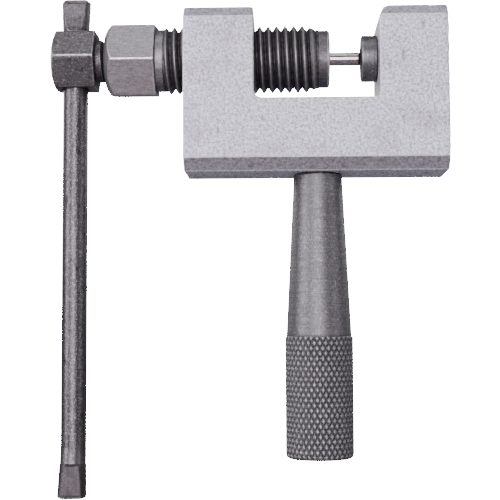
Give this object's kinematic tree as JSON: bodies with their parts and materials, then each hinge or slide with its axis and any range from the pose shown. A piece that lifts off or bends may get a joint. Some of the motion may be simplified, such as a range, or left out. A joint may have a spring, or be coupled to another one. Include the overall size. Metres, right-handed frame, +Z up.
{
  "type": "chain tool",
  "caption": "U-shaped steel body with a hollow threaded drive bolt, a tommy-bar push screw, a drive pin facing a bored anvil, and a knurled handle.",
  "frame": {"origin": "centre of the anvil's working face, on the drive axis", "axes": "+X along the drive axis, the way the pin pushes a rivet; +Z up, the way the U opens, with the handle down; +Y to the back"},
  "size_m": [0.0923, 0.02, 0.1173],
  "materials": {
    "block_steel": "bead-blasted satin grey steel",
    "anvil_steel": "dark hardened steel",
    "handle_steel": "dark turned and knurled steel",
    "bolt_steel": "brushed steel, dark in the thread",
    "spring_steel": "drawn spring wire",
    "pin_steel": "polished",
    "screw_steel": "dark brushed steel",
    "bar_steel": "dark drawn steel with small pits"
  },
  "bodies": {
    "frame": {"body_block": "block_steel", "anvil_bush": "anvil_steel", "handle": "handle_steel"},
    "bolt_carrier": {"return_spring": "spring_steel"},
    "drive_bolt": {"drive_bolt": "bolt_steel"},
    "drive_pin": {"drive_pin": "pin_steel"},
    "push_screw": {"push_screw": "screw_steel"},
    "tommy_bar": {"tommy_bar": "bar_steel"}
  },
  "joints": [
    {"name": "bolt_feed", "type": "slide", "parent": "frame", "child": "bolt_carrier", "axis": [1, 0, 0], "range_m": [-0.0179, 0.0065]},
    {"name": "bolt_turn", "type": "hinge", "parent": "bolt_carrier", "child": "drive_bolt", "pos_m": [0, 0, 0], "axis": [1, 0, 0], "range_deg": [-3223, 1171]},
    {"name": "pin_feed", "type": "slide", "parent": "drive_bolt", "child": "drive_pin", "axis": [1, 0, 0], "range_m": [-0.01, 0.0021], "deforming": ["return_spring"]},
    {"name": "screw_turn", "type": "hinge", "parent": "drive_pin", "child": "push_screw", "pos_m": [0, 0, 0], "axis": [1, 0, 0], "range_deg": [-2401, 505]},
    {"name": "bar_slide", "type": "slide", "parent": "push_screw", "child": "tommy_bar", "axis": [0, 0, 1], "range_m": [0, 0.086]}
  ],
  "couplings": [
    {"joint": "bolt_turn", "follows": "bolt_feed", "rad_per_m": 3141.6},
    {"joint": "screw_turn", "follows": "pin_feed", "rad_per_m": 4188.8}
  ]
}
